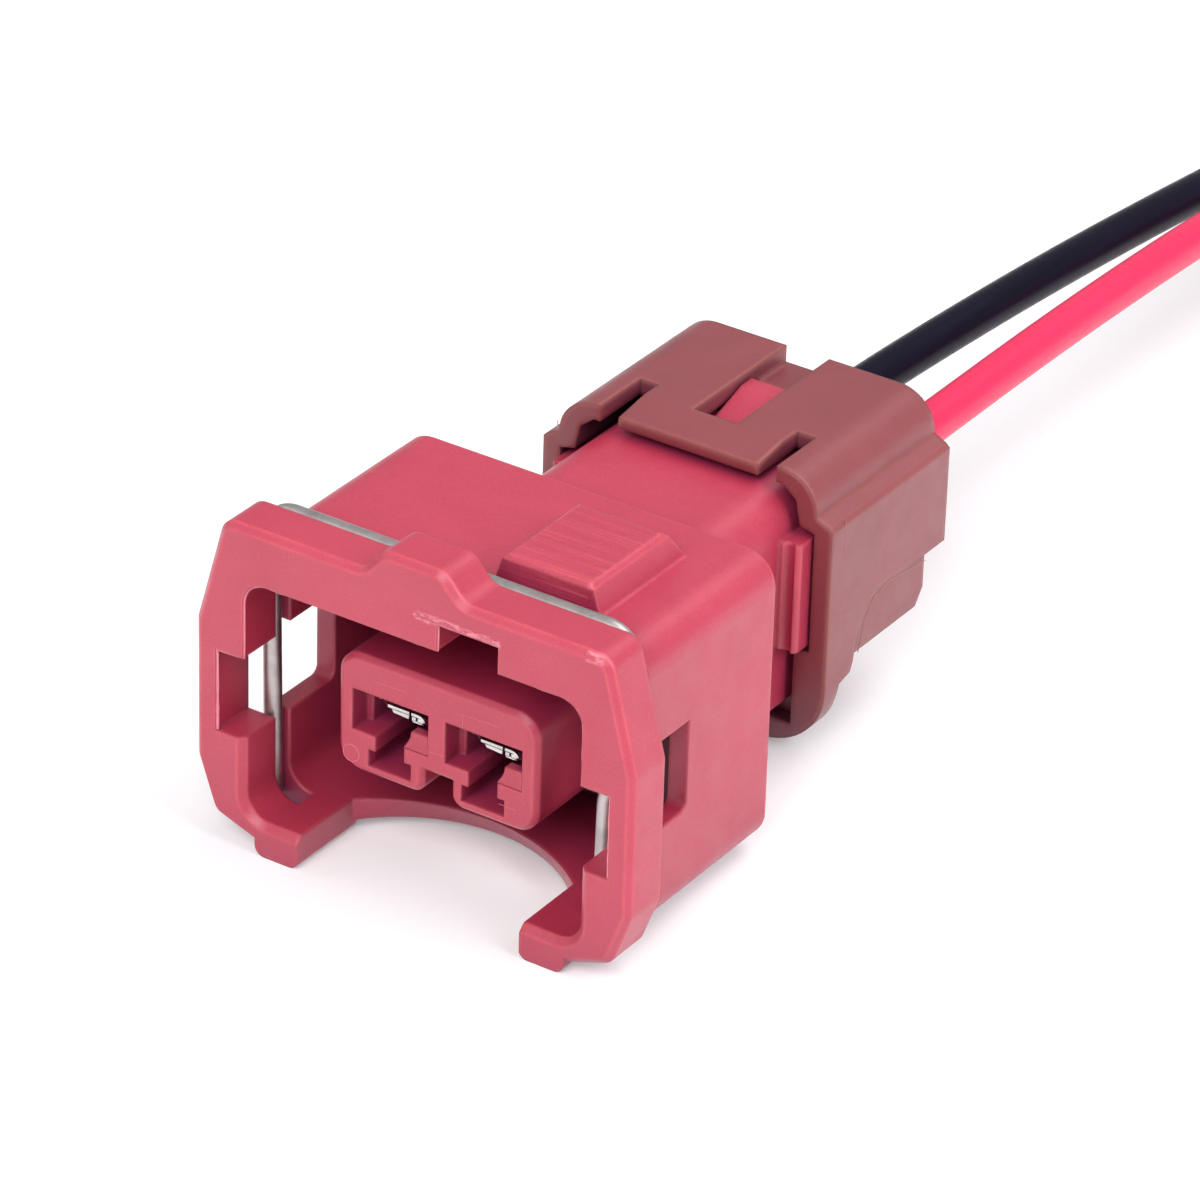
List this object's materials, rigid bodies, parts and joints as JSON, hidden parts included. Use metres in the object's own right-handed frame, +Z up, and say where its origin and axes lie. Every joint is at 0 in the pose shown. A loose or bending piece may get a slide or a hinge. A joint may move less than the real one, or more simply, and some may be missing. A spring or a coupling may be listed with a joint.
{
  "type": "fuel injector connector",
  "caption": "Sealed female fuel injector plug with keyed rectangular hood, contact tower, spring wire clip, push-on rear cap and a short pigtail of a black and a red wire.",
  "frame": {"origin": "under the middle of the connector, on the plane that its two foot beads stand on, the free wires left out", "axes": "+Z up, +Y from the mating face to the wires, +X to the keyway's side"},
  "size_m": [0.0232, 0.1345, 0.0178],
  "materials": {
    "housing_red": "satin crimson glass-filled moulding",
    "cap_brown_red": "satin brown-red moulding",
    "seal_rubber": "dark matt rubber",
    "contact_tin": "tin-plated brass, bright",
    "grommet_rubber": "matt silicone rubber",
    "clip_steel": "satin spring steel wire",
    "wire_black_pvc": "glossy black PVC over copper strands",
    "wire_red_pvc": "pink-red PVC over copper strands"
  },
  "bodies": {
    "connector": {"housing": "housing_red", "rear_cap": "cap_brown_red", "interface_seal": "seal_rubber", "contact_left": "contact_tin", "contact_right": "contact_tin", "wire_seal_left": "grommet_rubber", "wire_seal_right": "grommet_rubber", "wire_black": "wire_black_pvc", "wire_red": "wire_red_pvc"},
    "clip": {"wire_clip": "clip_steel"}
  },
  "joints": [
    {"name": "clip_push", "type": "slide", "parent": "connector", "child": "clip", "axis": [0, 0, -1], "range_m": [0, 0.0006], "stiffness_N_per_m": 1500}
  ]
}
